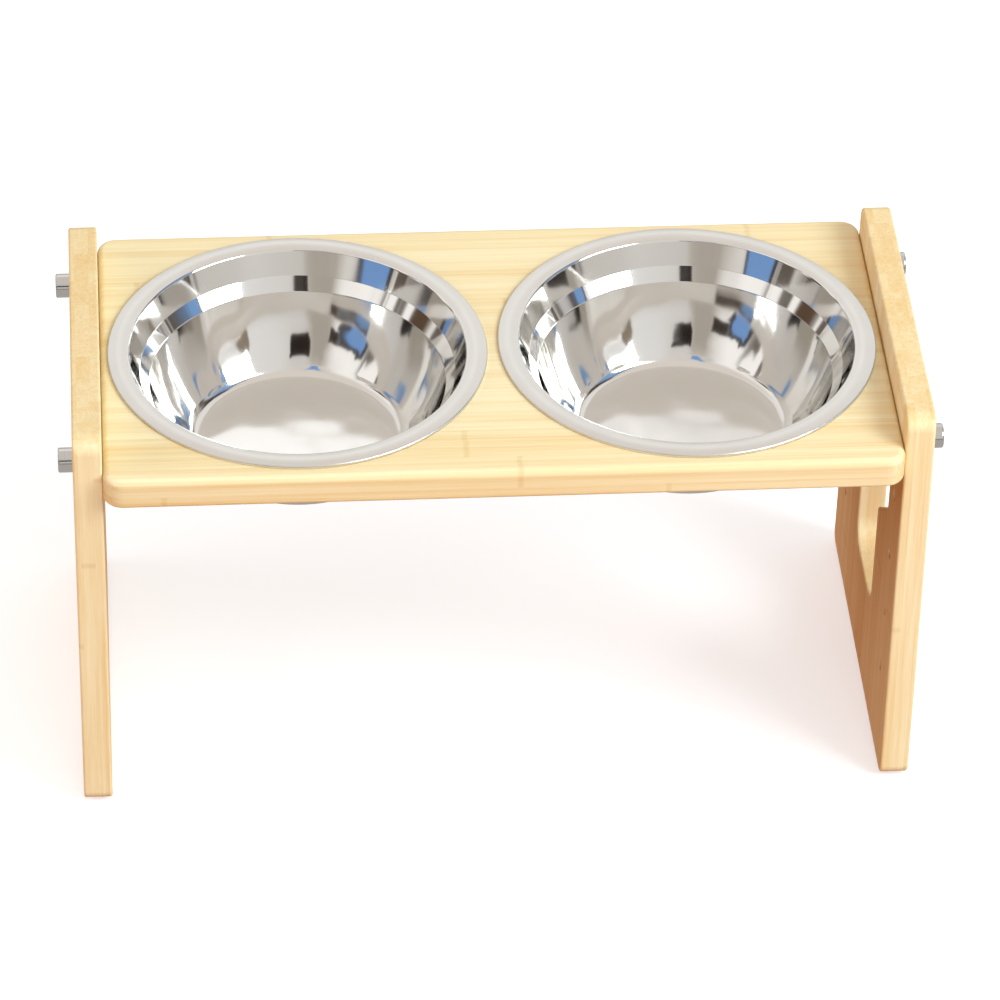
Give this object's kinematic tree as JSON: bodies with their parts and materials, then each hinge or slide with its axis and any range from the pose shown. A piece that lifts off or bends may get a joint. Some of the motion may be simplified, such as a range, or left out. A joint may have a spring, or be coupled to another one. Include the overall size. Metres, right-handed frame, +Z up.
{
  "type": "elevated dog bowl stand",
  "caption": "Bamboo feeding stand: a tray board bolted between upright side panels, with lift-out steel bowls and rows of holes for setting the tray height.",
  "frame": {"origin": "on the floor, under the middle of the stand", "axes": "+X along the tray to the right, +Y from the front to the rear, +Z up"},
  "size_m": [0.425, 0.198, 0.2225],
  "materials": {
    "bamboo": "clear satin lacquer over laminated bamboo strips",
    "bowl_steel": "polished inside, satin on the rim and the base",
    "bolt_steel": "turned and polished",
    "insert_brass": "plain turned",
    "pad_rubber": "matt"
  },
  "bodies": {
    "stand": {"tray_board": "bamboo", "left_side_panel": "bamboo", "right_side_panel": "bamboo", "front_left_insert": "insert_brass", "rear_left_insert": "insert_brass", "front_right_insert": "insert_brass", "rear_right_insert": "insert_brass", "front_left_foot_pad": "pad_rubber", "rear_left_foot_pad": "pad_rubber", "front_right_foot_pad": "pad_rubber", "rear_right_foot_pad": "pad_rubber"},
    "left_bowl_body": {"left_bowl": "bowl_steel"},
    "right_bowl_body": {"right_bowl": "bowl_steel"},
    "front_left_bolt_body": {"front_left_bolt": "bolt_steel"},
    "rear_left_bolt_body": {"rear_left_bolt": "bolt_steel"},
    "front_right_bolt_body": {"front_right_bolt": "bolt_steel"},
    "rear_right_bolt_body": {"rear_right_bolt": "bolt_steel"}
  },
  "joints": [
    {"name": "left_bowl_lift", "type": "slide", "parent": "stand", "child": "left_bowl_body", "axis": [0, 0, 1], "range_m": [0, 0.1]},
    {"name": "right_bowl_lift", "type": "slide", "parent": "stand", "child": "right_bowl_body", "axis": [0, 0, 1], "range_m": [0, 0.1]},
    {"name": "front_left_bolt_out", "type": "slide", "parent": "stand", "child": "front_left_bolt_body", "axis": [-1, 0, 0], "range_m": [0, 0.03]},
    {"name": "rear_left_bolt_out", "type": "slide", "parent": "stand", "child": "rear_left_bolt_body", "axis": [-1, 0, 0], "range_m": [0, 0.03]},
    {"name": "front_right_bolt_out", "type": "slide", "parent": "stand", "child": "front_right_bolt_body", "axis": [1, 0, 0], "range_m": [0, 0.03]},
    {"name": "rear_right_bolt_out", "type": "slide", "parent": "stand", "child": "rear_right_bolt_body", "axis": [1, 0, 0], "range_m": [0, 0.03]}
  ]
}
